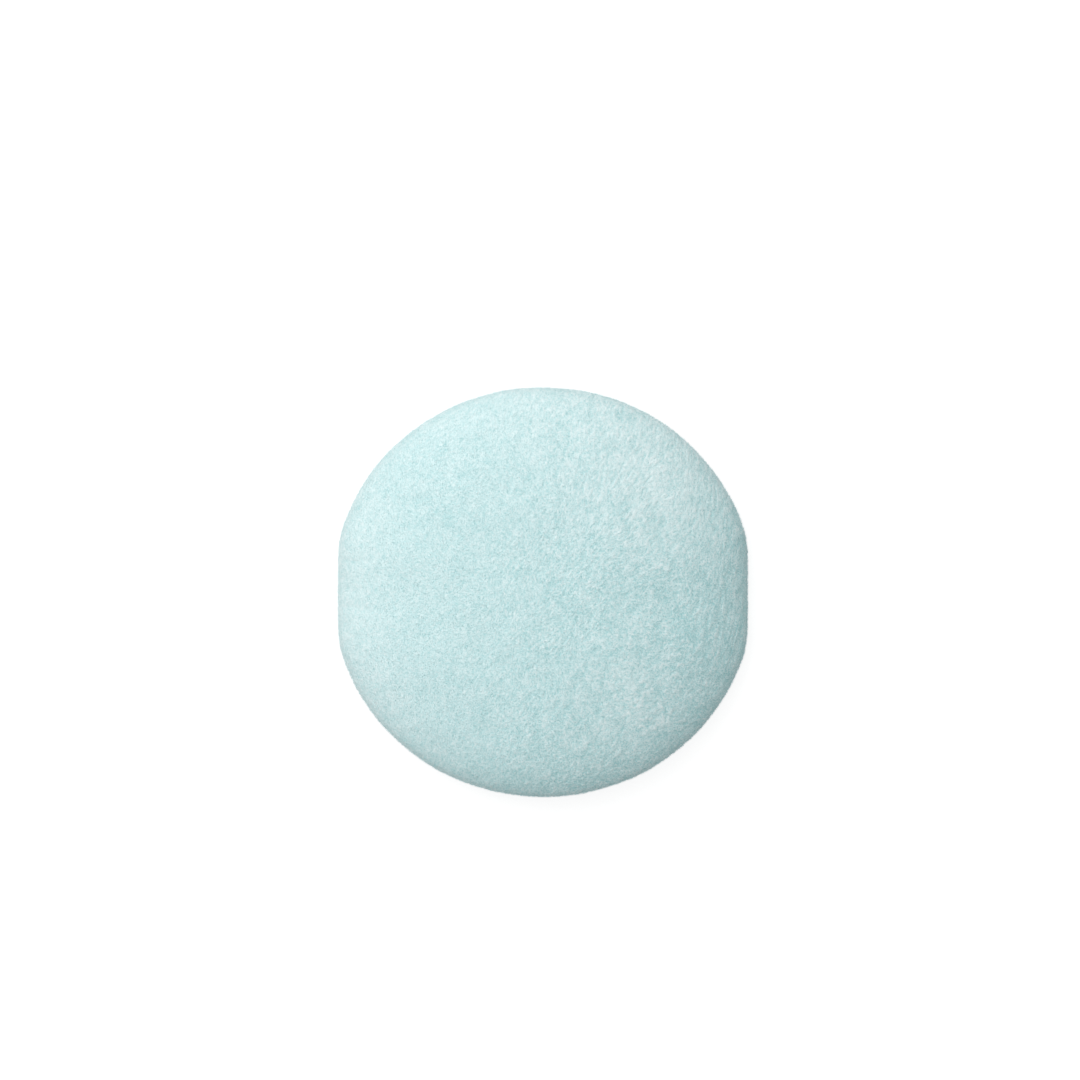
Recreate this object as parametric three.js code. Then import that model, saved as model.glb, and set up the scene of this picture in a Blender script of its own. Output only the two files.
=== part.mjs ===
// A powder puff: two plush covers sewn edge to edge over wadding and a foam core, with a satin band
// across the back. The plush front faces up. X runs along the band, Y along the finger slot, and the puff
// lies on its band at z = 0. The band is taut, so it bows the pad a little and draws its two sides in until
// the round outline is straight there.
import * as THREE from "three";

// Whole puff
const puffWidth = 82.4; // between the two straight, drawn-in sides
const puffLength = 82; // along the finger slot
const flatMargin = 2; // how far the straight side runs on past each edge of the band
const cornerBlend = 1; // how softly the straight side runs into the round outline
const bowRise = 4.2; // how far the taut band bows the middle of the pad above its sides
const fitGap = 0.3; // clearance between pieces that lie on each other

// Front cover, measured to the tips of its pile
const crownHeight = 13; // above the seam
const frontGirthHeight = 2; // where the front is widest, above the seam
const crownFullness = 2.3; // over 2 the face is flatter and its edge rounder than an ellipse

// Back cover
const backInset = 0.5; // how much smaller it is than the front, all round
const backHollowDepth = 1.9; // below the seam, in the middle
const backGirthDepth = 1.2; // where the back is widest, below the seam
const backRollShare = 0.84; // where its rolled rim hangs lowest
const backFlatShare = 0.3; // where the hollow middle begins
const rollFullness = 2.4;
const rollRoom = 0.55; // hollow left inside the rim, under the bobbin thread
const backClearance = 0.9; // between the rolled rim and the band that lies under it

// Plush and its seam
const coverThickness = 1.5; // backing cloth and pile
const seamGroove = 1.6; // how deep the seam lies inside the outline
const seamAllowance = 5; // how far the turned-in edges reach inwards from the seam
const allowanceThickness = 0.5; // a turned-in edge, its pile pressed flat
const partingEase = 3; // length over which the edges close again beside a band tail

// Wadding
const frontWaddingThickness = 1.5;
const backWaddingThickness = 1;

// Band
const bandWidth = 16;
const bandThickness = 0.3;
const bandTurnRadius = 0.6; // where it leaves the seam and turns down
const bandLowerTurnShare = 0.75; // how much of its way down it spends turning under the rim
const bandTailShare = 0.8; // how far its tail reaches into the seam allowance

// Threads
const threadDiameter = 0.3;
const stitchInset = 1.8; // seam stitches, in from the seam
const stitchLength = 2.5;
const stitchDip = 0.12; // how far the thread is drawn down at each needle hole
const tackPitch = 0.9; // between neighbouring threads of a bar tack
const tackReachShare = 0.45; // of the room inside the seam stitches
const tackSpanShare = 0.75; // of the band's width
const closingLength = 25; // turning gap, sewn up by hand
const closingPitch = 2.5;
const closingSpan = 0.8; // how far each closing stitch reaches across the groove
const closingDrop = 0.3; // middle of the closing stitches, below the seam

// How finely the round pieces are divided
const stepsAround = 56;
const stepCrowdingShare = 0.45; // steps are crowded at the drawn-in sides
const crownSteps = 9;
const innerCrownSteps = 6;
const rollSteps = 4;
const curlSteps = 3;
const turnSteps = 6;
const levelSteps = 3;
const threadSides = 4;
const threadStepsPerStitch = 3;

// Sizes that follow from these
const halfWidth = puffWidth / 2;
const halfLength = puffLength / 2;
const straightHalf = bandWidth / 2 + flatMargin;
const roundHalfWidth = halfWidth / Math.sqrt(1 - (straightHalf / halfLength) ** 2);
const parting = (bandThickness + fitGap) / 2; // how far each turned-in edge gives way to a band tail
const allowanceFace = fitGap / 2; // from the middle of the seam to the face of a turned-in edge
const allowanceBack = allowanceFace + allowanceThickness;
const threadRadius = threadDiameter / 2;
const threadHeight = allowanceBack + fitGap + threadRadius; // middle of a seam thread, from the seam
const stitchLine = seamGroove + stitchInset;
const allowanceEdge = seamGroove + seamAllowance;
const bandRecess = bandThickness + fitGap;
const backRollDepth = coverThickness + threadHeight + threadRadius + parting + rollRoom;
const backSide = halfWidth - backInset - bandRecess; // the back cover, where the band presses its side
const rimRise = bowRise * (1 - (backRollShare * backSide / halfWidth) ** 2);
const sideSeamHeight = bandThickness + backClearance + backRollDepth - rimRise;
const waddingTop = backWaddingThickness + fitGap - (backHollowDepth - coverThickness);
const coreBottom = waddingTop + fitGap;

// Height of the seam above the rest plane.
function seamHeight(x) {
  return sideSeamHeight + bowRise * (1 - (x / halfWidth) ** 2);
}

// The lesser of two lengths, with the corner between them rounded off.
function softLesser(one, other, blend) {
  const overlap = Math.max(blend - Math.abs(one - other), 0) / blend;
  return Math.min(one, other) - (overlap * overlap * blend) / 4;
}

// How far the outline is from the middle: an ellipse with two straight sides.
function outlineReach(angle) {
  const across = Math.abs(Math.cos(angle));
  const along = Math.abs(Math.sin(angle));
  const round = 1 / Math.hypot(across / roundHalfWidth, along / halfLength);
  return softLesser(round, halfWidth / across, cornerBlend);
}

// 1 beside a band tail, 0 away from it, and between them over partingEase.
function nearBand(y) {
  const away = (Math.abs(y) - bandWidth / 2 - fitGap) / partingEase;
  return 1 - THREE.MathUtils.smoothstep(away, 0, 1);
}

const angles = Array.from({ length: stepsAround }, (_, step) => {
  const even = (step / stepsAround) * 2 * Math.PI;
  return even - (stepCrowdingShare / 2) * Math.sin(2 * even);
});

// One ring of points round the puff. It lies inset from the outline, shrunk by share, at a height from the
// seam. parted says how much of the parting it takes beside a band tail, and recess how far a band presses
// it in.
function ringAt({ share = 1, inset = 0, height, parted = 0, recess = 0 }) {
  return angles.map((angle) => {
    const reach = outlineReach(angle);
    const pressed = recess * nearBand(reach * Math.sin(angle));
    const radius = share * (reach - inset - pressed);
    const x = radius * Math.cos(angle);
    const y = radius * Math.sin(angle);
    const shift = parted * parting * nearBand(y);
    return new THREE.Vector3(x, y, seamHeight(x) + height + shift);
  });
}

function middleAt(height) {
  return [new THREE.Vector3(0, 0, seamHeight(0) + height)];
}

// A closed surface through rings of points. The rings run outwards from the top middle and back below it.
// A ring of one point closes the surface there. Looped rings close on themselves instead.
function surfaceThrough(rings, looped = false) {
  const starts = [];
  const points = [];
  for (const ring of rings) {
    starts.push(points.length);
    points.push(...ring);
  }
  const faces = [];
  const pairs = looped ? rings.length : rings.length - 1;
  for (let i = 0; i < pairs; i++) {
    const next = (i + 1) % rings.length;
    const here = rings[i].length;
    const there = rings[next].length;
    for (let j = 0; j < Math.max(here, there); j++) {
      const a = starts[i] + (j % here);
      const b = starts[next] + (j % there);
      const c = starts[next] + ((j + 1) % there);
      const d = starts[i] + ((j + 1) % here);
      if (there > 1) faces.push(a, b, c);
      if (here > 1) faces.push(a, c, d);
    }
  }
  const geometry = new THREE.BufferGeometry().setFromPoints(points);
  geometry.setIndex(faces);
  geometry.computeVertexNormals();
  return geometry;
}

// Rings of a crown, from near its middle to its girth: flat in the middle and rolled at the edge.
function crownRings(inset, top, girth, steps) {
  return Array.from({ length: steps }, (_, step) => {
    const turn = ((step + 1) / steps) * (Math.PI / 2);
    const share = Math.sin(turn) ** (2 / crownFullness);
    return ringAt({ share, inset, height: girth + (top - girth) * Math.cos(turn) });
  });
}

// Rings of a level face, from near its middle to near its edge, so that it follows the bow of the pad.
function levelRings(inset, height) {
  return Array.from({ length: levelSteps - 1 }, (_, step) => {
    return ringAt({ share: (step + 1) / levelSteps, inset, height });
  });
}

// Rings of the back's lower face, from near its middle out over the rolled rim to its girth.
function backRings(inset, depthLoss, recess) {
  const hollow = backHollowDepth - depthLoss;
  const roll = backRollDepth - depthLoss;
  const rings = [];
  for (let step = 0; step < rollSteps; step++) {
    const way = step / rollSteps;
    const share = THREE.MathUtils.lerp(backFlatShare, backRollShare, way);
    const depth = THREE.MathUtils.lerp(hollow, roll, THREE.MathUtils.smoothstep(way, 0, 1));
    rings.push(ringAt({ share, inset, recess, height: -depth }));
  }
  for (let step = 0; step <= rollSteps; step++) {
    const turn = (step / rollSteps) * (Math.PI / 2);
    const outward = Math.sin(turn) ** (2 / rollFullness);
    const down = Math.max(Math.cos(turn), 0) ** (2 / rollFullness);
    const share = THREE.MathUtils.lerp(backRollShare, 1, outward);
    const depth = THREE.MathUtils.lerp(backGirthDepth, roll, down);
    rings.push(ringAt({ share, inset, recess, height: -depth }));
  }
  return rings;
}

// Rings of the rounded edge between a cover's girth and the seam, without the girth itself.
// side is 1 for the front cover, over the seam, and -1 for the back cover, under it.
function curlRings(inset, girth, recess, side) {
  return Array.from({ length: curlSteps }, (_, step) => {
    const turn = (1 - (step + 1) / curlSteps) * (Math.PI / 2);
    const out = Math.sin(turn);
    const height = side * THREE.MathUtils.lerp(allowanceFace, girth, 1 - Math.cos(turn));
    return ringAt({
      inset: THREE.MathUtils.lerp(seamGroove, inset, out),
      height,
      parted: side * (1 - out),
      recess: recess * out,
    });
  });
}

// The turned-in edge, from the seam inwards and back out again, on the side away from the seam.
function allowanceRings(side) {
  return [
    ringAt({ inset: allowanceEdge, height: side * allowanceFace, parted: side }),
    ringAt({ inset: allowanceEdge, height: side * allowanceBack, parted: side }),
    ringAt({ inset: backInset + coverThickness + fitGap, height: side * allowanceBack, parted: side }),
  ];
}

function makeFrontCover() {
  const innerTop = crownHeight - coverThickness;
  return surfaceThrough([
    middleAt(crownHeight),
    ...crownRings(0, crownHeight, frontGirthHeight, crownSteps),
    ...curlRings(0, frontGirthHeight, 0, 1),
    ...allowanceRings(1),
    ...crownRings(coverThickness, innerTop, frontGirthHeight, innerCrownSteps).reverse(),
    middleAt(innerTop),
  ]);
}

function makeBackCover() {
  return surfaceThrough([
    middleAt(coverThickness - backHollowDepth),
    ...backRings(backInset + coverThickness, coverThickness, 0),
    ...allowanceRings(-1).reverse(),
    ...curlRings(backInset, backGirthDepth, bandRecess, -1).reverse(),
    ...backRings(backInset, 0, bandRecess).reverse(),
    middleAt(-backHollowDepth),
  ]);
}

// The front wadding is a cap that lies in the front cover and fills its rolled edge, down to the seam
// stitches.
const waddingInset = coverThickness + fitGap;
const skirtBottom = allowanceBack + threadDiameter + 2 * fitGap;
function makeFrontWadding() {
  const outerTop = crownHeight - waddingInset;
  const innerTop = outerTop - frontWaddingThickness;
  return surfaceThrough([
    middleAt(outerTop),
    ...crownRings(waddingInset, outerTop, frontGirthHeight, innerCrownSteps),
    ringAt({ inset: waddingInset + fitGap, height: skirtBottom, parted: 1 }),
    ringAt({ inset: allowanceEdge, height: skirtBottom, parted: 1 }),
    ...crownRings(allowanceEdge, innerTop, frontGirthHeight + parting, innerCrownSteps).reverse(),
    middleAt(innerTop),
  ]);
}

// The foam core is a disc, cut to drop inside the ring of turned-in edges and domed under the wadding.
const coreInset = allowanceEdge + fitGap;
const coreTop = crownHeight - waddingInset - frontWaddingThickness - fitGap;
function makeFoamCore() {
  return surfaceThrough([
    middleAt(coreTop),
    ...crownRings(coreInset, coreTop, frontGirthHeight, innerCrownSteps),
    ringAt({ inset: coreInset, height: coreBottom }),
    ...levelRings(coreInset, coreBottom).reverse(),
    middleAt(coreBottom),
  ]);
}

// The back wadding fills the hollow of the back cover up to the core.
function makeBackWadding() {
  const inset = backInset + coverThickness + fitGap;
  const rimShare = (halfWidth - coreInset) / (halfWidth - inset);
  const lower = backRings(inset, coverThickness + fitGap, 0).slice(0, rollSteps);
  return surfaceThrough([
    middleAt(waddingTop),
    ...levelRings(coreInset, waddingTop),
    ringAt({ inset: coreInset, height: waddingTop }),
    ringAt({ share: Math.min(rimShare, backRollShare), inset, height: -backGirthDepth }),
    ...lower.reverse(),
    middleAt(coverThickness + fitGap - backHollowDepth),
  ]);
}

// The band's middle line in the XZ plane, from its flat middle out to the end of one tail.
// Each point holds its place and the direction square to the band, away from the puff's inside.
function bandHalfLine() {
  const side = backSide + fitGap + bandThickness / 2;
  const turnMiddle = side - bandTurnRadius;
  const slope = Math.atan((2 * bowRise * turnMiddle) / halfWidth ** 2);
  const leaveX = turnMiddle + bandTurnRadius * Math.sin(slope);
  const turnHeight = seamHeight(leaveX) - bandTurnRadius * Math.cos(slope);
  const flat = bandThickness / 2;
  const lowerRadius = bandLowerTurnShare * (turnHeight - flat);
  const line = [];
  for (let step = 0; step <= turnSteps; step++) {
    const turn = (step / turnSteps) * (Math.PI / 2);
    const out = new THREE.Vector2(Math.sin(turn), -Math.cos(turn));
    const middle = new THREE.Vector2(side - lowerRadius, flat + lowerRadius);
    line.push({ at: middle.addScaledVector(out, lowerRadius), out });
  }
  for (let step = 0; step <= turnSteps; step++) {
    const turn = (step / turnSteps) * (Math.PI / 2 - slope);
    const out = new THREE.Vector2(Math.cos(turn), Math.sin(turn));
    const middle = new THREE.Vector2(turnMiddle, turnHeight);
    line.push({ at: middle.addScaledVector(out, bandTurnRadius), out });
  }
  const tailEnd = halfWidth - seamGroove - bandTailShare * seamAllowance;
  for (let step = 1; step <= turnSteps; step++) {
    const x = THREE.MathUtils.lerp(leaveX, tailEnd, step / turnSteps);
    const lean = Math.atan((2 * bowRise * x) / halfWidth ** 2);
    const out = new THREE.Vector2(Math.sin(lean), Math.cos(lean));
    line.push({ at: new THREE.Vector2(x, seamHeight(x)), out });
  }
  return line;
}

function makeRibbonBand() {
  const right = bandHalfLine();
  const left = right.map(({ at, out }) => ({
    at: new THREE.Vector2(-at.x, at.y),
    out: new THREE.Vector2(-out.x, out.y),
  }));
  const line = [...left.reverse(), ...right];
  const outer = line.map(({ at, out }) => at.clone().addScaledVector(out, bandThickness / 2));
  const inner = line.map(({ at, out }) => at.clone().addScaledVector(out, -bandThickness / 2));
  const strip = new THREE.Shape([...outer, ...inner.reverse()]);
  const geometry = new THREE.ExtrudeGeometry(strip, { depth: bandWidth, bevelEnabled: false });
  geometry.rotateX(Math.PI / 2);
  geometry.translate(0, bandWidth / 2, 0);
  return geometry;
}

// A seam thread: one closed ring that lies on a turned-in edge and dips at each needle hole.
function makeSeamThread(side) {
  const girth = Math.PI * ((puffWidth + puffLength) / 2 - 2 * stitchLine);
  const steps = 2 * Math.round(girth / stitchLength);
  const sections = Array.from({ length: steps }, (_, step) => {
    const angle = (step / steps) * 2 * Math.PI;
    const radius = outlineReach(angle) - stitchLine;
    const outward = new THREE.Vector3(Math.cos(angle), Math.sin(angle), 0);
    const middle = outward.clone().multiplyScalar(radius);
    const dip = step % 2 === 0 ? stitchDip : 0;
    const height = threadHeight - dip + parting * nearBand(middle.y);
    middle.z = seamHeight(middle.x) + side * height;
    return Array.from({ length: threadSides }, (_, corner) => {
      const turn = (corner / threadSides) * 2 * Math.PI;
      const place = middle.clone().addScaledVector(outward, threadRadius * Math.cos(turn));
      place.z += threadRadius * Math.sin(turn);
      return place;
    });
  });
  return surfaceThrough(sections, true);
}

// A thread that goes smoothly through the given places, with closed ends.
function threadThrough(places) {
  const section = new THREE.Shape();
  for (let corner = 0; corner < threadSides; corner++) {
    const turn = (corner / threadSides) * 2 * Math.PI;
    const x = threadRadius * Math.cos(turn);
    const y = threadRadius * Math.sin(turn);
    if (corner === 0) section.moveTo(x, y);
    else section.lineTo(x, y);
  }
  return new THREE.ExtrudeGeometry(section, {
    steps: threadStepsPerStitch * (places.length - 1),
    bevelEnabled: false,
    extrudePath: new THREE.CatmullRomCurve3(places),
  });
}

// A bar tack on the front cover's turned-in edge, over a tail of the band. side is -1 for the left tail and
// 1 for the right one.
function makeRibbonTack(side) {
  const room = seamAllowance - stitchInset;
  const middle = halfWidth - stitchLine - room / 2;
  const reach = (tackReachShare * room) / 2;
  const count = Math.round((tackSpanShare * bandWidth) / tackPitch);
  const places = Array.from({ length: count + 1 }, (_, step) => {
    const x = side * (middle + (step % 2 === 0 ? reach : -reach));
    const y = (step - count / 2) * tackPitch;
    return new THREE.Vector3(x, y, seamHeight(x) + threadHeight + parting);
  });
  return threadThrough(places);
}

// Ladder stitches in the groove of the seam, where the puff was turned right side out.
function makeClosingStitches() {
  const count = 2 * Math.round(closingLength / closingPitch);
  const radius = halfLength - fitGap - threadRadius;
  const places = Array.from({ length: count + 1 }, (_, step) => {
    const x = ((step - count / 2) * closingPitch) / 2;
    const angle = Math.atan2(-radius, x);
    const reach = outlineReach(angle) - fitGap - threadRadius;
    const place = new THREE.Vector3(reach * Math.cos(angle), reach * Math.sin(angle), 0);
    place.z = seamHeight(place.x) - closingDrop + (step % 2 === 0 ? closingSpan : -closingSpan) / 2;
    return place;
  });
  return threadThrough(places);
}

function material(color, roughness) {
  return new THREE.MeshStandardMaterial({ color, roughness, metalness: 0 });
}

const plush = material("#bedfe1", 0.95);
const wadding = material("#f3f4f1", 1);
const foam = material("#efe9d8", 0.9);
const satin = material("#c9e6e8", 0.35);
const thread = material("#a9d3d6", 0.6);

const puff = new THREE.Group();
const pieces = {
  front_cover: [makeFrontCover(), plush],
  back_cover: [makeBackCover(), plush],
  front_wadding: [makeFrontWadding(), wadding],
  foam_core: [makeFoamCore(), foam],
  back_wadding: [makeBackWadding(), wadding],
  ribbon_band: [makeRibbonBand(), satin],
  needle_thread: [makeSeamThread(1), thread],
  bobbin_thread: [makeSeamThread(-1), thread],
  ribbon_tack_left: [makeRibbonTack(-1), thread],
  ribbon_tack_right: [makeRibbonTack(1), thread],
  closing_stitches: [makeClosingStitches(), thread],
};
for (const [name, [geometry, finish]] of Object.entries(pieces)) {
  const mesh = new THREE.Mesh(geometry, finish.clone());
  mesh.name = name;
  puff.add(mesh);
}

export default puff;
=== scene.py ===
# %% [markdown]
# # A plush powder puff
# A powder puff is two rounds of velour sewn edge to edge over wadding and a foam disc. A satin band for the
# fingers crosses the back, and its tails are caught in the side seam. The solids of the puff are loaded
# first, as a frame that is never moved. Everything after this cell dresses that frame, in metres and in its
# own axes: X runs along the band, Y towards the top of the picture, and Z out of the plush face.

# %% Load the frame
import math

import bmesh
import bpy
import numpy as np
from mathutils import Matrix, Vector, kdtree, noise


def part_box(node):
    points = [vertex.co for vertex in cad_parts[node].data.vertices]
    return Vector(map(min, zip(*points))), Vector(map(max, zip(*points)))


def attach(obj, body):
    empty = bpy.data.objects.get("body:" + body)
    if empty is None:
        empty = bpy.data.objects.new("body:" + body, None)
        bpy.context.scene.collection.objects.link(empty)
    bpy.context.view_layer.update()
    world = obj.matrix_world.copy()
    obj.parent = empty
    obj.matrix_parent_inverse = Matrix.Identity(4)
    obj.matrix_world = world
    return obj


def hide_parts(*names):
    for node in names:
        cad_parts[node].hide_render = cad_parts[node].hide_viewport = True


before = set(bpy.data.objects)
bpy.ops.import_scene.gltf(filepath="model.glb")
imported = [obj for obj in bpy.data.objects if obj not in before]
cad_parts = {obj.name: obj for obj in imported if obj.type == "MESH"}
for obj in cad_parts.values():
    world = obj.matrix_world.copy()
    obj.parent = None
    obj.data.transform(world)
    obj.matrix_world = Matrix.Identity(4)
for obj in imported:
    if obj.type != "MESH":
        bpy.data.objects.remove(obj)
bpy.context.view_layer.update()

MM = 0.001

# %% [markdown]
# ## Sizes
# The outline is an ellipse that the band draws straight at both sides. The frame gives its width, its
# length and the height of its crown. The other sizes repeat those that the solids were made with, so the
# dressed puff fits them.

# %% Sizes of the puff
front_low, front_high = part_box("front_cover")
band_low, band_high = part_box("ribbon_band")
half_width = (front_high[0] - front_low[0]) / 2
half_length = (front_high[1] - front_low[1]) / 2
band_half = (band_high[1] - band_low[1]) / 2
straight_half = band_half + 2 * MM
corner_blend = 1 * MM
bow_rise = 4.2 * MM
crown_height = 13 * MM
front_girth = 2 * MM
crown_fullness = 2.3
seam_groove = 1.6 * MM
seam_allowance = 5 * MM
back_inset = 0.5 * MM
back_hollow = 1.9 * MM
back_girth = 1.2 * MM
back_roll_share = 0.84
back_flat_share = 0.3
roll_fullness = 2.4
fit_gap = 0.3 * MM
band_thickness = 0.3 * MM
seam_middle = front_high[2] - crown_height
seam_side = seam_middle - bow_rise
round_half_width = half_width / math.sqrt(1 - (straight_half / half_length) ** 2)
parting = (band_thickness + fit_gap) / 2
band_recess = band_thickness + fit_gap
back_roll = 3.6 * MM
print("puff", round(2 * half_width / MM, 1), "by", round(2 * half_length / MM, 1), "mm")

# %% [markdown]
# The outline is needed for every ring of both covers, so it is a function of the angle. Where the ellipse
# and the straight side meet, a soft minimum rounds the corner off. The seam isn't level: the taut band bows
# the pad.

# %% Outline and bow
def outline_reach(angle):
    across = np.maximum(np.abs(np.cos(angle)), 1e-9)
    along = np.abs(np.sin(angle))
    ellipse = 1 / np.hypot(across / round_half_width, along / half_length)
    side = half_width / across
    overlap = np.maximum(corner_blend - np.abs(ellipse - side), 0) / corner_blend
    return np.minimum(ellipse, side) - overlap**2 * corner_blend / 4


def seam_height(x):
    return seam_side + bow_rise * (1 - (x / half_width) ** 2)


def smooth(low, high, value):
    share = np.clip((value - low) / (high - low), 0, 1)
    return share * share * (3 - 2 * share)


def near_band(y):
    return 1 - smooth(0, 3 * MM, np.abs(y) - band_half - fit_gap)


print("straight sides", round(2 * straight_half / MM, 1), "mm long")

# %% [markdown]
# ## Camera, floor and light
# The picture was taken straight down on the plush, from far enough away that the puff's sides don't show. A
# long lens does that. The lens and the distance set the scale of 5 pixels to a millimetre, and the puff
# sits a little right of the picture's middle and well below it.

# %% Camera
picture = 1080
pixels_per_mm = 5
puff_at = (543, 592)
lens = 150
sensor = 36
picture_width = picture / pixels_per_mm * MM
distance = picture_width * lens / sensor
camera_data = bpy.data.cameras.new("camera")
camera_data.lens = lens
camera_data.sensor_width = sensor
camera = bpy.data.objects.new("camera", camera_data)
bpy.context.scene.collection.objects.link(camera)
widest_height = seam_middle - bow_rise / 2 + front_girth
camera.location = (
    (picture / 2 - puff_at[0]) / pixels_per_mm * MM,
    (puff_at[1] - picture / 2) / pixels_per_mm * MM,
    widest_height + distance,
)
bpy.context.scene.camera = camera
print("camera", round(distance, 3), "m above the girth")

# %% [markdown]
# The light is very soft. The brightness over the face falls evenly from upper left to lower right, with no
# hard key. So the room itself is the lamp: its walls are brighter overhead and towards the upper left. Its
# shader is built with small helpers, so that a node and its links take one line. A value that is a socket
# is linked, and any other is set.

# %% Node helpers
def shader_tree(name):
    material = bpy.data.materials.new(name)
    material.use_nodes = True
    nodes = material.node_tree.nodes
    return material, nodes, material.node_tree.links


def feed(tree, socket, value):
    if isinstance(value, bpy.types.NodeSocket):
        tree.links.new(value, socket)
    else:
        socket.default_value = value


def math_node(tree, operation, *values, clamp=False):
    node = tree.nodes.new("ShaderNodeMath")
    node.operation = operation
    node.use_clamp = clamp
    for socket, value in zip(node.inputs, values):
        feed(tree, socket, value)
    return node.outputs[0]


def mix_node(tree, share, first, second, kind="RGBA"):
    node = tree.nodes.new("ShaderNodeMix")
    node.data_type = kind
    for label, value in (("Factor", share), ("A", first), ("B", second)):
        feed(tree, node.inputs[label], value)
    return node.outputs["Result"]


print("node helpers ready")

# %% Room
room_level = 0.41
room_slope = 0.38
room_rise = 0.6
light_azimuth = math.radians(130)

world = bpy.data.worlds.new("pale room")
bpy.context.scene.world = world
world.use_nodes = True
room = world.node_tree
background = room.nodes["Background"]
background.inputs["Color"].default_value = (1, 1, 1, 1)
place = room.nodes.new("ShaderNodeTexCoord")
towards = room.nodes.new("ShaderNodeVectorMath")
towards.operation = "DOT_PRODUCT"
towards.inputs[1].default_value = (
    room_slope * math.cos(light_azimuth),
    room_slope * math.sin(light_azimuth),
    room_rise,
)
room.links.new(place.outputs["Generated"], towards.inputs[0])
wall = math_node(room, "ADD", towards.outputs["Value"], room_level)
path = room.nodes.new("ShaderNodeLightPath")
level = mix_node(room, path.outputs["Is Camera Ray"], wall, 1, "FLOAT")
room.links.new(level, background.inputs["Strength"])
bpy.context.scene.view_settings.view_transform = "Standard"
print("room", room_level, "with", room_slope, "more at the upper left and", room_rise, "more overhead")

# %% [markdown]
# A wide soft lamp adds a little direction, which brings out the grain where it grazes. The floor is plain
# and pale. Seen by the camera it is lifted to white, and the puff's shadow stays on it.

# %% Soft lamp
key_power = 6.0
key_size = 1.4
key_elevation = math.radians(40)
key_distance = 1.3
key_data = bpy.data.lights.new("key", "AREA")
key_data.shape = "DISK"
key_data.size = key_size
key_data.energy = key_power
key = bpy.data.objects.new("key", key_data)
bpy.context.scene.collection.objects.link(key)
key.location = (
    key_distance * math.cos(key_elevation) * math.cos(light_azimuth),
    key_distance * math.cos(key_elevation) * math.sin(light_azimuth),
    key_distance * math.sin(key_elevation),
)
key.rotation_euler = (-Vector(key.location)).to_track_quat("-Z", "Y").to_euler()
print("lamp of", key_power, "watts,", key_size, "m wide")

# %% Floor
floor_colour = (0.42, 0.42, 0.42, 1)
floor_lift = 0.75
floor_size = 4
bpy.ops.object.select_all(action="DESELECT")
bpy.ops.mesh.primitive_plane_add(size=floor_size, location=(0, 0, 0))
floor = bpy.context.object
floor.name = "floor"
floor_material, nodes, links = shader_tree("floor")
shader = nodes["Principled BSDF"]
shader.inputs["Base Color"].default_value = floor_colour
shader.inputs["Roughness"].default_value = 1
shader.inputs["Specular IOR Level"].default_value = 0
lift = nodes.new("ShaderNodeEmission")
nothing = nodes.new("ShaderNodeEmission")
path = nodes.new("ShaderNodeLightPath")
seen = nodes.new("ShaderNodeMixShader")
total = nodes.new("ShaderNodeAddShader")
lift.inputs["Strength"].default_value = floor_lift
nothing.inputs["Strength"].default_value = 0
links.new(path.outputs["Is Camera Ray"], seen.inputs["Fac"])
links.new(nothing.outputs[0], seen.inputs[1])
links.new(lift.outputs[0], seen.inputs[2])
links.new(shader.outputs[0], total.inputs[0])
links.new(seen.outputs[0], total.inputs[1])
links.new(total.outputs[0], nodes["Material Output"].inputs["Surface"])
floor.data.materials.append(floor_material)
print("floor", floor_size, "m wide")

# %% [markdown]
# ## Materials
# The plush is dyed evenly, but its fibres catch the light differently and hold a little more or less dye.
# One node group makes that mottling from a fine noise and a wide one, and each material takes it at its own
# size and contrast. The group puts out a colour, so it can be baked. A constant such as the sheen stays on
# the shader itself.

# %% Mottling node group
def new_group(name, inputs, outputs):
    group = bpy.data.node_groups.new(name, "ShaderNodeTree")
    for label, kind, value in inputs:
        socket = group.interface.new_socket(label, in_out="INPUT", socket_type=kind)
        socket.default_value = value
    for label, kind in outputs:
        group.interface.new_socket(label, in_out="OUTPUT", socket_type=kind)
    return group, group.nodes.new("NodeGroupInput"), group.nodes.new("NodeGroupOutput")


def noise_node(tree, place, scale, roughness=0.5):
    node = tree.nodes.new("ShaderNodeTexNoise")
    for label, value in (("Vector", place), ("Scale", scale), ("Detail", 2), ("Roughness", roughness)):
        feed(tree, node.inputs[label], value)
    return node.outputs["Fac"]


mottle, group_in, group_out = new_group(
    "mottled dye",
    [
        ("Light", "NodeSocketColor", (1, 1, 1, 1)),
        ("Deep", "NodeSocketColor", (0.5, 0.5, 0.5, 1)),
        ("Tuft Size", "NodeSocketFloat", 1.0),
        ("Contrast", "NodeSocketFloat", 1.0),
    ],
    [("Color", "NodeSocketColor"), ("Amount", "NodeSocketFloat")],
)
wide_over_fine = 9
wide_share = 0.22
place = mottle.nodes.new("ShaderNodeTexCoord").outputs["Object"]
fine_scale = math_node(mottle, "DIVIDE", 1 / MM, group_in.outputs["Tuft Size"])
wide_scale = math_node(mottle, "DIVIDE", fine_scale, wide_over_fine)
fine = noise_node(mottle, place, fine_scale, roughness=0.45)
wide = noise_node(mottle, place, wide_scale)
both = mix_node(mottle, wide_share, fine, wide, "FLOAT")
centred = math_node(mottle, "SUBTRACT", both, 0.5)
amount = math_node(mottle, "MULTIPLY_ADD", centred, group_in.outputs["Contrast"], 0.5, clamp=True)
dyed = mix_node(mottle, amount, group_in.outputs["Deep"], group_in.outputs["Light"])
mottle.links.new(dyed, group_out.inputs["Color"])
mottle.links.new(amount, group_out.inputs["Amount"])
print("node group:", mottle.name)

# %% Mottled material
grain_height = 0.2 * MM


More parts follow.
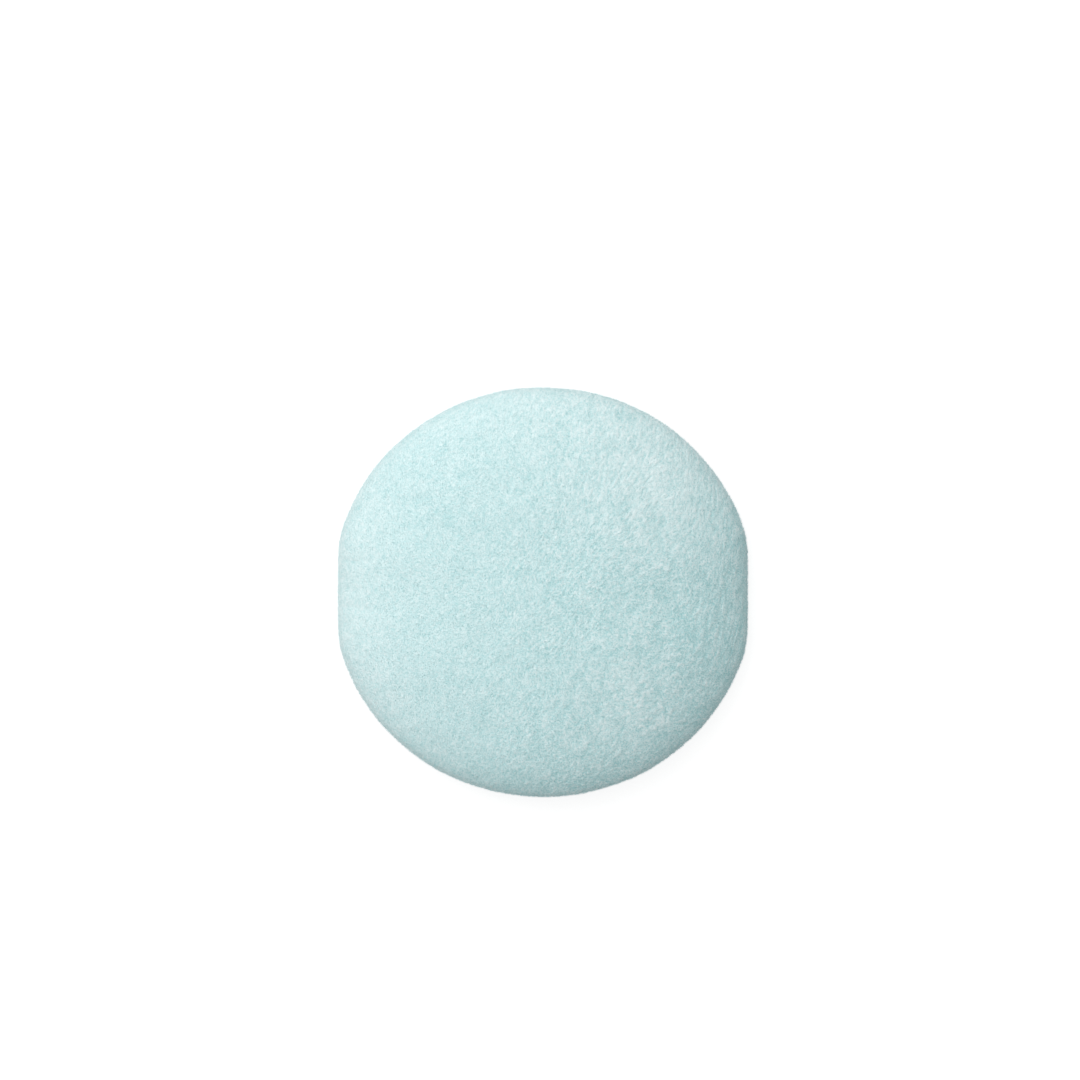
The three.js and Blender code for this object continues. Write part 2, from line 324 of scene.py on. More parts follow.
def mottled_material(name, light, deep, tuft, contrast, roughness, sheen=0.0, bump=0.0):
    material, nodes, links = shader_tree(name)
    shader = nodes["Principled BSDF"]
    group = nodes.new("ShaderNodeGroup")
    group.node_tree = mottle
    group.inputs["Light"].default_value = (*light, 1)
    group.inputs["Deep"].default_value = (*deep, 1)
    group.inputs["Tuft Size"].default_value = tuft
    group.inputs["Contrast"].default_value = contrast
    links.new(group.outputs["Color"], shader.inputs["Base Color"])
    shader.inputs["Roughness"].default_value = roughness
    shader.inputs["Specular IOR Level"].default_value = 0.25
    shader.inputs["Sheen Weight"].default_value = sheen
    shader.inputs["Sheen Roughness"].default_value = 0.6
    if bump:
        relief = nodes.new("ShaderNodeBump")
        relief.inputs["Strength"].default_value = bump
        relief.inputs["Distance"].default_value = grain_height
        links.new(group.outputs["Amount"], relief.inputs["Height"])
        links.new(relief.outputs["Normal"], shader.inputs["Normal"])
    return material


print("mottled material ready")

# %% [markdown]
# The pile isn't the same all over. A painted sheen makes it paler towards the upper left, where the light
# comes from, and a painted shade darkens its rim at the lower right. Where it is ruffled its grain is
# stronger, and down between the tufts it is painted deeper, as shade. The mesh knows these places, so it
# carries them as the attributes pale, rough and tip, and the pile's material reads them.

# %% Pile material
pile_light = (0.77, 0.917, 0.925)
pile_deep = (0.36, 0.66, 0.677)
# Painted shade colour for the roots of the pile and the hollows between its tufts. The backing also takes it
# as its deeper tone.
pile_root_shade = (0.5, 0.73, 0.738)
# Whitish colour for painted sheen, also for tufts that are paler at random.
pile_sheen_and_pale = (0.83, 0.937, 0.943)
calm_contrast = 1.45
ruffled_contrast = 2.6


def attribute_node(tree, name):
    node = tree.nodes.new("ShaderNodeAttribute")
    node.attribute_name = name
    return node.outputs["Fac"]


pile_material = mottled_material(
    "plush_pile", pile_light, pile_deep, tuft=0.31, contrast=3.0, roughness=0.6, sheen=0.12, bump=0.22
)
tree = pile_material.node_tree
group = tree.nodes["Group"]
grainy = math_node(tree, "MULTIPLY_ADD", attribute_node(tree, "rough"), ruffled_contrast, calm_contrast)
tree.links.new(grainy, group.inputs["Contrast"])
# The paleness attribute mixes in the whitish colour: painted sheen, and random pale tone.
with_sheen_and_tone = mix_node(tree, attribute_node(tree, "pale"), group.outputs["Color"], (*pile_sheen_and_pale, 1))
# The tip attribute mixes in the painted root shade where it is low: deep in the pile and in the hollows
# between tufts.
root_shaded = mix_node(tree, attribute_node(tree, "tip"), (*pile_root_shade, 1), with_sheen_and_tone)
tree.links.new(root_shaded, tree.nodes["Principled BSDF"].inputs["Base Color"])
print("pile material:", pile_material.name)

# %% Backing, wadding, foam and thread materials
backing_material = mottled_material(
    "velour_backing", pile_light, pile_root_shade, tuft=0.8, contrast=2.0, roughness=0.9, sheen=0.1, bump=0.6
)
wadding_material = mottled_material(
    "fibre_wadding", (0.93, 0.94, 0.92), (0.84, 0.85, 0.83),
    tuft=0.7, contrast=2.5, roughness=1.0, sheen=0.1, bump=0.8,
)
foam_material = mottled_material(
    "open_cell_foam", (0.9, 0.86, 0.74), (0.68, 0.63, 0.5),
    tuft=0.35, contrast=4.0, roughness=0.95, bump=1.0,
)
thread_material = mottled_material(
    "sewing_thread", (0.6, 0.8, 0.81), (0.48, 0.7, 0.72),
    tuft=0.3, contrast=2.0, roughness=0.55, sheen=0.1, bump=0.5,
)
print("mottled materials: 5")

# %% [markdown]
# The band is satin ribbon: long floats of shiny thread run across it, so its gloss is drawn out along the
# band. The weave is laid out on a UV map that follows the strip, with U along it in metres and V across it.
# A bump reads its ridges, and the colour reads its streaks and the tighter selvedge along each edge.

# %% Satin weave
weave, group_in, group_out = new_group(
    "satin weave",
    [("Threads Per Metre", "NodeSocketFloat", 6000.0), ("Slub", "NodeSocketFloat", 2.5)],
    [("Height", "NodeSocketFloat"), ("Tone", "NodeSocketFloat"), ("Selvedge", "NodeSocketFloat")],
)
selvedge_width = 1 * MM
crossing_share = 0.35
streaks_per_metre = (90, 4000, 1)
strip = weave.nodes.new("ShaderNodeUVMap")
strip.uv_map = "strip"
apart = weave.nodes.new("ShaderNodeSeparateXYZ")
weave.links.new(strip.outputs["UV"], apart.inputs["Vector"])


def ridges(place, share):
    """Rounded ridges, one for each of a share of the threads."""
    rate = math_node(weave, "MULTIPLY", group_in.outputs["Threads Per Metre"], share * 2 * math.pi)
    return math_node(weave, "SINE", math_node(weave, "MULTIPLY", place, rate))


warp = ridges(apart.outputs["Y"], 1.0)
weft = ridges(apart.outputs["X"], 0.5)
crossing = math_node(weave, "MULTIPLY", warp, weft)
relief = math_node(weave, "MULTIPLY_ADD", crossing, crossing_share, warp)
streak_map = weave.nodes.new("ShaderNodeMapping")
streak_map.inputs["Scale"].default_value = streaks_per_metre
weave.links.new(strip.outputs["UV"], streak_map.inputs["Vector"])
streak = noise_node(weave, streak_map.outputs["Vector"], 1)
height = math_node(weave, "MULTIPLY_ADD", streak, group_in.outputs["Slub"], relief)
from_middle = math_node(weave, "SUBTRACT", apart.outputs["Y"], band_half)
selvedge = weave.nodes.new("ShaderNodeMapRange")
selvedge.inputs["From Min"].default_value = band_half - selvedge_width
selvedge.inputs["From Max"].default_value = band_half - 0.75 * selvedge_width
weave.links.new(math_node(weave, "ABSOLUTE", from_middle), selvedge.inputs["Value"])
for label, output in (("Height", height), ("Tone", streak), ("Selvedge", selvedge.outputs["Result"])):
    weave.links.new(output, group_out.inputs[label])
print("node group:", weave.name)

# %% Satin material
satin_deep = (0.5, 0.74, 0.76, 1)
satin_light = (0.66, 0.86, 0.87, 1)
selvedge_colour = (0.46, 0.7, 0.72, 1)
ridge_height = 0.008 * MM
satin_material, nodes, links = shader_tree("satin_ribbon")
shader = nodes["Principled BSDF"]
group = nodes.new("ShaderNodeGroup")
group.node_tree = weave
floats = mix_node(satin_material.node_tree, group.outputs["Tone"], satin_deep, satin_light)
colour = mix_node(satin_material.node_tree, group.outputs["Selvedge"], floats, selvedge_colour)
links.new(colour, shader.inputs["Base Color"])
bump = nodes.new("ShaderNodeBump")
bump.inputs["Strength"].default_value = 0.5
bump.inputs["Distance"].default_value = ridge_height
links.new(group.outputs["Height"], bump.inputs["Height"])
links.new(bump.outputs["Normal"], shader.inputs["Normal"])
shader.inputs["Roughness"].default_value = 0.28
shader.inputs["Anisotropic"].default_value = 0.6
shader.inputs["Sheen Weight"].default_value = 0.15
print("satin material:", satin_material.name)

# %% [markdown]
# ## Covers
# A sewn round is a sheet whose edge is turned in. It is modelled as one would sew it, from the turned-in
# edge up: a circle is added, then extruded ring by ring along the profile, over the seam, round the rolled
# edge and up the crown. Each ring is set on the outline at its own inset and height. The middle is closed
# with a grid, so that no pole pinches the cloth there.

# %% Ring tools
def place_ring(mesh, spec):
    inset, share, height, parted, recess = spec
    for vertex in (v for v in mesh.verts if v.select):
        angle = math.atan2(vertex.co.y, vertex.co.x)
        reach = float(outline_reach(angle))
        pressed = recess * float(near_band(reach * math.sin(angle)))
        radius = share * (reach - inset - pressed)
        x, y = radius * math.cos(angle), radius * math.sin(angle)
        vertex.co = (x, y, float(seam_height(x)) + height + parted * parting * float(near_band(y)))


def cover_from_rings(name, specs, segments):
    bpy.ops.object.select_all(action="DESELECT")
    bpy.ops.mesh.primitive_circle_add(vertices=segments, radius=half_width, location=(0, 0, 0))
    cover = bpy.context.object
    cover.name = name
    bpy.ops.object.mode_set(mode="EDIT")
    bpy.ops.mesh.select_all(action="SELECT")
    mesh = bmesh.from_edit_mesh(cover.data)
    place_ring(mesh, specs[0])
    for spec in specs[1:]:
        bpy.ops.mesh.extrude_region_move()
        mesh = bmesh.from_edit_mesh(cover.data)
        place_ring(mesh, spec)
    bmesh.update_edit_mesh(cover.data)
    bpy.ops.mesh.fill_grid(span=segments // 4)
    bpy.ops.mesh.select_all(action="SELECT")
    bpy.ops.mesh.normals_make_consistent(inside=False)
    bpy.ops.object.mode_set(mode="OBJECT")
    return cover


def follow_bow(cover, height_of):
    """The grid in the middle is flat, so its points are set on the cover's own profile."""
    for vertex in cover.data.vertices:
        x, y = vertex.co.x, vertex.co.y
        share = math.hypot(x, y) / float(outline_reach(math.atan2(y, x)))
        if share < grid_share * 0.999:
            vertex.co.z = float(seam_height(x)) + height_of(share)


segments = 192
grid_share = 0.3
pile_height = 0.35 * MM
rim_pile = 0.2 * MM
allowance_height = 0.45 * MM
fold_inset = seam_groove + 0.3 * MM
fold_height = 0.35 * MM
print("rings of", segments, "points")

# %% [markdown]
# Both covers start with the same turned-in edge, the back's upside down. A ring is given as its inset from
# the outline, its share of the outline's reach, its height over the seam, how far it parts round the band's
# tails, and how far it is pressed in under the band.

# %% Turned-in edge
def turned_in_edge(side):
    edge = [
        (seam_groove + seam_allowance * share, 1, side * allowance_height, side, 0)
        for share in (1, 0.6, 0.25)
    ]
    return edge + [(fold_inset, 1, side * fold_height, side, 0)]


print("turned-in edge:", len(turned_in_edge(1)), "rings")

# %% Front cover cloth
front_top = crown_height - pile_height


def front_height(share):
    lower = min(share * half_width / (half_width - rim_pile), 1)
    return front_girth + (front_top - front_girth) * math.sqrt(1 - lower**crown_fullness)


front_specs = turned_in_edge(1)
fold_steps = 5
for step in range(1, fold_steps):
    turn = step / fold_steps * math.pi / 2
    inset = fold_inset - (fold_inset - rim_pile) * math.sin(turn)
    height = fold_height + (front_girth - fold_height) * (1 - math.cos(turn))
    front_specs.append((inset, 1, height, 1 - math.sin(turn), 0))
lowest_turn = math.asin(grid_share ** (crown_fullness / 2))
crown_steps = 22
for step in range(crown_steps + 1):
    turn = math.pi / 2 + (lowest_turn - math.pi / 2) * step / crown_steps
    share = math.sin(turn) ** (2 / crown_fullness)
    height = front_girth + (front_top - front_girth) * math.cos(turn)
    front_specs.append((rim_pile, share, height, 0, 0))
front_cloth = cover_from_rings("plush_front", front_specs, segments)
follow_bow(front_cloth, front_height)
print("front cloth:", len(front_cloth.data.polygons), "faces")

# %% Back cover cloth
back_pile = 0.35 * MM
back_edge = back_inset + back_pile


def back_depth_inside(share):
    way = (share - back_flat_share) / (back_roll_share - back_flat_share)
    return back_hollow - back_pile + (back_roll - back_hollow) * float(smooth(0, 1, way))


back_specs = turned_in_edge(-1)
back_specs.append((back_edge + 0.1 * MM, 1, -(fold_height + back_girth) / 2, -0.4, band_recess * 0.6))
roll_steps = 8
for step in range(roll_steps + 1):
    turn = step / roll_steps * math.pi / 2
    outward = math.cos(turn) ** (2 / roll_fullness)
    down = math.sin(turn) ** (2 / roll_fullness)
    share = back_roll_share + (1 - back_roll_share) * outward
    depth = back_girth + (back_roll - back_pile - back_girth) * down
    back_specs.append((back_edge, share, -depth, 0, band_recess))
hollow_steps = 12
for step in range(1, hollow_steps + 1):
    share = back_roll_share + (grid_share - back_roll_share) * step / hollow_steps
    back_specs.append((back_edge, share, -back_depth_inside(share), 0, 0))
back_cloth = cover_from_rings("plush_back", back_specs, segments)
follow_bow(back_cloth, lambda share: -back_depth_inside(share))
print("back cloth:", len(back_cloth.data.polygons), "faces")

# %% [markdown]
# ## Stuffing the covers
# A drawn profile looks stiff, so both covers are run as cloth under a little pressure. The nearly flat back
# slackens and gathers where the band draws it in, and the domed front, which is stiff in its shape, barely
# moves. The turned-in edge is pinned, as the seam holds it. How far a point may move is capped, so that the
# puff keeps its size.

# %% Cloth simulation
stuffing_frames = 20


def stuff(cover, pressure, cap, pinned_below):
    """Runs cloth on a cover with its seam pinned. Its points move at most cap."""
    before = np.empty(len(cover.data.vertices) * 3)
    cover.data.vertices.foreach_get("co", before)
    before = before.reshape(-1, 3)
    over_seam = np.abs(before[:, 2] - seam_height(before[:, 0]))
    reach = outline_reach(np.arctan2(before[:, 1], before[:, 0]))
    near_edge = np.hypot(before[:, 0], before[:, 1]) > 0.8 * reach
    pins = cover.vertex_groups.new(name="seam")
    pins.add([int(i) for i in np.nonzero((over_seam < pinned_below) & near_edge)[0]], 1.0, "REPLACE")
    cloth = cover.modifiers.new("stuffing", "CLOTH")
    settings = cloth.settings
    settings.quality = 6
    settings.mass = 0.05
    settings.tension_stiffness = 12
    settings.compression_stiffness = 12
    settings.shear_stiffness = 4
    settings.bending_stiffness = 0.6
    settings.use_pressure = True
    settings.uniform_pressure_force = pressure
    settings.vertex_group_mass = "seam"
    settings.effector_weights.gravity = 0
    cloth.point_cache.frame_start = 1
    cloth.point_cache.frame_end = stuffing_frames
    for frame_number in range(1, stuffing_frames + 1):
        bpy.context.scene.frame_set(frame_number)
    evaluated = cover.evaluated_get(bpy.context.evaluated_depsgraph_get())
    after = np.empty(len(evaluated.data.vertices) * 3)
    evaluated.data.vertices.foreach_get("co", after)
    cover.modifiers.remove(cloth)
    cover.vertex_groups.remove(pins)
    bpy.context.scene.frame_set(1)
    shift = after.reshape(-1, 3) - before
    length = np.linalg.norm(shift, axis=1, keepdims=True)
    shift *= np.minimum(1, cap / np.maximum(length, 1e-9))
    cover.data.vertices.foreach_set("co", (before + shift).ravel())
    cover.data.update()
    return float(length.max())


moved = stuff(front_cloth, pressure=4, cap=0.8 * MM, pinned_below=1.2 * MM)
print("front moved by up to", round(moved / MM, 2), "mm before the cap")
moved = stuff(back_cloth, pressure=2, cap=0.4 * MM, pinned_below=0.9 * MM)
print("back moved by up to", round(moved / MM, 2), "mm before the cap")

# %% [markdown]
# Then comes the wear of the hand: gentle dents a few centimetres wide, and short creases that the band
# presses into the rolled edge at both straight sides. They are moves of the vertices along their normals,
# on a mesh that is fine enough to hold them.

# %% Dents and creases
def only(piece):
    """Selects this piece alone and makes it the active one."""
    bpy.ops.object.select_all(action="DESELECT")
    piece.select_set(True)
    bpy.context.view_layer.objects.active = piece


def smooth_copy(cover):
    only(cover)
    finer = cover.modifiers.new("finer", "SUBSURF")
    finer.levels = finer.render_levels = 1
    bpy.ops.object.modifier_apply(modifier=finer.name)
    bpy.ops.object.shade_smooth()


def read_points(mesh):
    count = len(mesh.vertices)
    points = np.empty(count * 3)
    normals = np.empty(count * 3)
    mesh.vertices.foreach_get("co", points)
    mesh.vertex_normals.foreach_get("vector", normals)
    return points.reshape(-1, 3), normals.reshape(-1, 3)


left_creases = (-1, (-6.9, -3.2, 0.4, 2.6, 6.1), 0.13 * MM)
right_creases = (1, (-4.6, -0.8, 3.4), 0.08 * MM)


def crease_depth(points, normals):
    """Short shallow creases that run in from the straight sides. They leave the outline itself straight."""
    depth = np.zeros(len(points))
    over = smooth(0.25, 0.75, normals[:, 2])
    for side, places, deep in (left_creases, right_creases):
        inward = half_width - side * points[:, 0]
        for number, place in enumerate(places):
            reach = (7 + 4 * math.sin(2.1 * number + side)) * MM
            wander = 0.3 * MM * np.sin(inward / (2.6 * MM) + number)
            line = place * MM * (1 + 0.35 * inward / half_width) + wander
            profile = np.exp(-(((points[:, 1] - line) / ((0.6 + 0.12 * number) * MM)) ** 2))
            depth += deep * profile * (1 - smooth(0.3 * reach, reach, inward))
    return depth * over


def hand_worn(cover, amount, creases):
    points, normals = read_points(cover.data)
    edge = smooth(0, 2 * MM, np.abs(points[:, 2] - seam_height(points[:, 0])) - 0.4 * MM)
    wide_dents = np.array([noise.noise(Vector(p) / (11 * MM)) for p in points])
    small_dents = np.array([noise.noise(Vector(p) / (5 * MM)) for p in points])
    move = amount * (wide_dents + 0.5 * small_dents) * edge
    if creases:
        move -= crease_depth(points, normals)
    cover.data.vertices.foreach_set("co", (points + normals * move[:, None]).ravel())
    cover.data.update()


for cover, amount, creases in ((front_cloth, 0.16 * MM, True), (back_cloth, 0.12 * MM, False)):
    smooth_copy(cover)
    hand_worn(cover, amount, creases)
print("covers:", len(front_cloth.data.vertices), len(back_cloth.data.vertices), "points")

# %% [markdown]
# ## The pile
# The pile is what makes this object, so it is real geometry, in two layers. The cover's own surface is cut
# finely and raised in tufts, which gives the mottled grain. Over it lie separate fibres, each a flat
# three-sided spike that follows the nap, which give the soft edge and the strokes. A photograph of velour
# shows just such tufts under a millimetre wide, and fibres alone would be too thin to show at this
# distance. The fibres are made in code, all at once, because there are more than a hand could place.

# %% Roots and tufts
def sample_surface(mesh, count, keep, rng):
    """Random places on the mesh, even by area: points, normals."""
    mesh.calc_loop_triangles()
    corners = np.empty(len(mesh.loop_triangles) * 3, dtype=np.int32)
    mesh.loop_triangles.foreach_get("vertices", corners)
    corners = corners.reshape(-1, 3)
    points, normals = read_points(mesh)
    middle = points[corners].mean(axis=1)
    corners = corners[keep(middle)]
    a, b, c = (points[corners[:, i]] for i in range(3))
    areas = np.linalg.norm(np.cross(b - a, c - a), axis=1)
    which = rng.choice(len(corners), size=count, p=areas / areas.sum())
    u, v = rng.random(count), rng.random(count)
    flip = u + v > 1
    u[flip], v[flip] = 1 - u[flip], 1 - v[flip]
    w = 1 - u - v
    weights = np.stack([w, u, v], axis=1)
    chosen = corners[which]
    place = (points[chosen] * weights[:, :, None]).sum(axis=1)
    normal = (normals[chosen] * weights[:, :, None]).sum(axis=1)
    normal /= np.linalg.norm(normal, axis=1, keepdims=True)
    return place, normal, areas.sum() / 2


def thin_out(points, spacing):
    """Keeps one point in each small box of space."""
    boxes = np.floor(points / spacing).astype(np.int64)
    return np.sort(np.unique(boxes, axis=0, return_index=True)[1])


def unit(vectors):
    return vectors / np.maximum(np.linalg.norm(vectors, axis=1, keepdims=True), 1e-12)


print("sampling tools ready")

# %% [markdown]
# The nap was last stroked up the picture, it leans more to the right at the right, and it turns round a
# small whorl there. It lies flat and smooth at the left and along the rim, and stands ruffled at the right,
# at the bottom and near the top. Places are given as shares of the half width and half length, so that the
# pattern keeps to the outline.

# %% Nap of the pile
def stroke_angle(x, y):
    at_left = smooth(0.25, 0.75, -x)
    low_right = smooth(0.1, 0.8, 0.7 * x - 0.7 * y)
    right_rim = smooth(0.6, 0.95, x) * smooth(-0.5, 0.1, y)
    return np.radians(66 + 16 * at_left - 10 * low_right + 20 * right_rim)


def how_rough(x, y, steep):
    rough = 0.16 + 0.9 * smooth(-0.55, 0.65, 0.85 * x - 0.15 * y) + 0.2 * smooth(0.1, 0.8, 0.5 * x - 0.8 * y)
    rough += 0.35 * np.exp(-((x - 0.15) ** 2 + (y - 0.82) ** 2) / 0.06)
    return rough * (1 - 0.8 * smooth(0.5, 0.95, steep))


def field_noise(points, size, offset, angle=None, drawn_out=1.0):
    """Smooth noise of a grain size, spread 1, which may be drawn out along the nap."""
    if angle is None:
        spots = points / size + offset
    else:
        along = points[:, 0] * np.cos(angle) + points[:, 1] * np.sin(angle)
        across = points[:, 1] * np.cos(angle) - points[:, 0] * np.sin(angle)
        spots = np.stack([along / (drawn_out * size), across / size, points[:, 2] / (3 * size)], axis=1)
        spots += offset
    return np.array([noise.noise(Vector(spot)) for spot in spots]) / 0.28


def nap_flow(points, normals, x, y, stroke, rough, steep):
    """The way the fibres lie, along the surface. On a steep side they hang down."""
    angle = stroke + np.radians(9) * field_noise(points, 7 * MM, 3)
    angle += np.radians(12) * (0.3 + rough) * field_noise(points, 1.1 * MM, 41)
    flow = np.stack([np.cos(angle), np.sin(angle)], axis=1)
    whorl = np.stack([x - 0.71, y - 0.25], axis=1)
    strength = np.exp(-(whorl**2).sum(axis=1) / 0.02)
    flow += strength[:, None] * np.stack([-whorl[:, 1], whorl[:, 0]], axis=1) / 0.12
    downhill = smooth(0.3, 0.9, steep)[:, None]
    flow = np.concatenate([flow * (1 - 0.75 * downhill), -0.9 * downhill], axis=1)
    return unit(flow - (flow * normals).sum(axis=1, keepdims=True) * normals)


print("nap at the middle:", round(math.degrees(float(stroke_angle(0, 0)))), "degrees from the band")

# %% [markdown]
# The tufts come in three sizes, drawn out along the nap. A tuft's crest is raised and a little paler: random
# tone, and a painted sheen on its top. Besides, the whole face is painted paler towards the upper left, as
# sheen where the light comes from. A few wide patches add or take away painted sheen, the rim at the left is
# painted lighter, and the rim at the lower right is painted in shade.

# %% Tufts and paleness
tuft_sizes = ((0.36, 1.0, 1.5), (0.65, 0.8, 1.8), (1.7, 0.45, 1.5))
highest_tuft = 2.5
# Each patch: its place across and along, its size, and how much painted sheen it adds (less than nothing
# takes sheen away).
sheen_and_shade_patches = (
    (0.57, 0.52, 0.32, 0.38),
    (0.44, -0.55, 0.28, 0.32),
    (-0.55, 0.55, 0.38, -0.22),
    (0.78, -0.08, 0.26, -0.19),
)


def tuft_noise(points, stroke):
    """Tufts of each size in mm, by its share and how far it is drawn out. Spread 1."""
    tufts = sum(
        share * field_noise(points, size * MM, 7 * (number + 1), stroke, drawn_out)
        for number, (size, share, drawn_out) in enumerate(tuft_sizes)
    )
    return tufts / math.sqrt(sum(share**2 for _, share, _ in tuft_sizes))


def painted_sheen_and_tone(x, y, tufts, fine, rough):
    out = np.hypot(x, y)
    # Painted sheen: paler towards the upper left, where the light comes from, and a little paler towards the
    # rim.
    pale = 0.27 - 0.23 * x + 0.2 * y + 0.07 * out**2
    # Wide patches where painted sheen is added or taken away.
    for place_x, place_y, size, more in sheen_and_shade_patches:
        pale += more * np.exp(-((x - place_x) ** 2 + (y - place_y) ** 2) / size**2)
    # Painted light along the rim at the left, except near the top.
    pale += 0.16 * smooth(0.7, 0.95, out) * smooth(-0.1, 0.7, -x) * (1 - smooth(0.1, 0.7, y))
    # Painted shade along the rim at the lower right, away from the light.
    pale -= 0.2 * smooth(0.78, 1, out) * smooth(-0.2, 0.7, 0.7 * x - 0.7 * y)
    # Random tone from the tufts and a fine grain. The tufts also raise the cloth, so their crests come out
    # paler: a painted sheen on their tops.
    pale += 0.18 * (0.5 + 0.6 * rough) * tufts + 0.19 * (0.8 + 0.25 * rough) * fine
    return np.clip(pale, 0, 1)


def pile_fields(points, normals):
    """What changes over the plush: nap, lean, roughness, relief of the tufts and paleness. The paleness
    holds painted sheen and painted shade besides random tone.
    """
    x, y = points[:, 0] / half_width, points[:, 1] / half_length
    stroke = stroke_angle(x, y)
    steep = 1 - np.clip(normals[:, 2], 0, 1)
    rough = how_rough(x, y, steep)
    fine = field_noise(points, 0.2 * MM, 0, stroke, 1.5)
    tufts = tuft_noise(points, stroke)
    relief = (0.008 + 0.023 * rough) * MM * np.clip(tufts, -highest_tuft, highest_tuft)
    nap = nap_flow(points, normals, x, y, stroke, rough, steep)
    lean = np.radians(62 - 10 * smooth(0.3, 0.9, steep))
    return nap, lean, rough, relief, painted_sheen_and_tone(x, y, tufts, fine, rough)


print("tufts of", ", ".join(str(size) for size, _, _ in tuft_sizes), "mm")

# %% [markdown]
# A fibre is a spike of three flat sides, sunk a little into the cloth. Its section is wide and low, so that
# it lies like a hair that was pressed down. The rougher the nap, the more its length, its lean and its tip
# stray. All fibres of a field are one mesh. Its bake map looks straight down and draws each tip back to its
# root, so that a fibre takes the colour of its own spot.

# %% Fibres
def grow_fibres(roots, normals, nap, lean, height, width, tuft_tips, gather, rough, rng):
    """Vertex places (count, 4, 3) of the spikes, with the tip last."""
    count = len(roots)
    long = height * (1 + (0.03 + 0.13 * rough) * rng.uniform(-1, 1, count))
    up = normals * (long * np.cos(lean))[:, None]
    along = nap * (long * np.sin(lean))[:, None]
    jitter = ((0.02 + 0.09 * rough) * height)[:, None] * rng.standard_normal((count, 3))
    tip = roots + up + along + jitter
    tip += gather[:, None] * (tuft_tips + jitter * 0.6 - tip)
    side = unit(np.cross(tip - roots, normals))
    above = unit(np.cross(side, tip - roots))
    thick = width * (0.75 + 0.5 * rng.random(count))[:, None]
    verts = np.empty((count, 4, 3))
    for corner, (sideways, upward) in enumerate(fibre_section):
        offset = sideways * side + upward * above
        verts[:, corner] = roots - normals * (0.1 * height) + offset * (thick / 2)
    verts[:, 3] = tip
    return verts


def carry(mesh, name, values):
    """Stores a value at each vertex, for the material to read."""
    attribute = mesh.attributes.new(name, "FLOAT", "POINT")
    attribute.data.foreach_set("value", values)


fibre_section = ((0, 0.35), (1, -0.15), (-1, -0.15))
fibre_faces = [(0, 2, 1), (0, 1, 3), (1, 2, 3), (2, 0, 3)]
# A fibre's three root points are painted part way into shade, and its tip is not.
fibre_out_of_shade = (0.7, 0.7, 0.7, 1.0)
tip_on_map = 0.03


def fibres_to_mesh(name, verts, pale, rough):
    count = len(verts)
    corners = np.array(fibre_faces).ravel()
    loops = (corners[None, :] + 4 * np.arange(count)[:, None]).ravel()
    mesh = bpy.data.meshes.new(name)
    mesh.vertices.add(count * 4)
    mesh.vertices.foreach_set("co", verts.ravel())
    mesh.loops.add(len(loops))
    mesh.loops.foreach_set("vertex_index", loops)
    mesh.polygons.add(len(loops) // 3)
    mesh.polygons.foreach_set("loop_start", np.arange(0, len(loops), 3))
    mesh.update(calc_edges=True)
    mesh.validate()
    mesh.shade_flat()
    # Painted shade at the fibre roots, read by the pile's material.
    carry(mesh, "tip", np.tile(fibre_out_of_shade, count))
    carry(mesh, "pale", np.repeat(pale, 4))
    carry(mesh, "rough", np.repeat(rough, 4))
    spot = verts.copy()
    root = verts[:, :3].mean(axis=1)
    spot[:, 3] = root + tip_on_map * (verts[:, 3] - root)
    spot = spot.reshape(-1, 3)[:, :2]
    spot = (spot - spot.min(axis=0)) / (spot.max(axis=0) - spot.min(axis=0))
    bake_map = mesh.uv_layers.new(name="OFBake")
    bake_map.data.foreach_set("uv", spot[loops].ravel())
    piece = bpy.data.objects.new(name, mesh)
    bpy.context.scene.collection.objects.link(piece)
    return piece


print("a fibre has", len(fibre_faces), "triangles")

# %% [markdown]
# Roots are strewn evenly over the cloth, and each fibre leans a little towards the tip of the nearest tuft.
# The pile of each cover is cut like a cake into four fields, which keeps every piece small. None grows
# inside the seam, nor on the back where the band presses it flat.

# %% Grow the pile
def grow_pile(cover, name, density, height, width, tuft_spacing, fields, keep, seed):
    rng = np.random.default_rng(seed)
    area = sample_surface(cover.data, 10, keep, rng)[2]
    count = int(area * density)
    roots, normals, _ = sample_surface(cover.data, count, keep, rng)
    centres, centre_normals, _ = sample_surface(cover.data, int(4 * area / tuft_spacing**2), keep, rng)
    kept = thin_out(centres, tuft_spacing)
    centres, centre_normals = centres[kept], centre_normals[kept]
    tuft_nap, tuft_lean, _, _, _ = pile_fields(centres, centre_normals)
    leaning = np.cos(tuft_lean)[:, None] * centre_normals + np.sin(tuft_lean)[:, None] * tuft_nap
    tips = centres + height * 0.95 * leaning
    tree = kdtree.KDTree(len(centres))
    for number, centre in enumerate(centres):
        tree.insert(centre, number)
    tree.balance()
    nearest = np.array([tree.find(root)[1] for root in roots])
    nap, lean, rough, relief, pale = pile_fields(roots, normals)
    roots = roots + normals * relief[:, None]
    gather = np.clip(0.05 + 0.12 * rough + 0.05 * rng.standard_normal(count), 0.0, 0.6)
    lean = lean + np.radians(1.5 + 8.5 * rough) * rng.standard_normal(count)
    verts = grow_fibres(roots, normals, nap, lean, height, width, tips[nearest], gather, rough, rng)
    angle = np.mod(np.arctan2(roots[:, 1], roots[:, 0]), 2 * math.pi)
    order = (angle / (2 * math.pi) * fields).astype(int)
    for field in range(fields):
        mine = order == field
        piece = fibres_to_mesh(f"{name}_{field + 1}", verts[mine], pale[mine], rough[mine])
        piece.data.materials.append(pile_material)
        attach(piece, "root")
    print(name, count, "fibres in", len(centres), "tufts on", round(area / MM**2), "mm2")


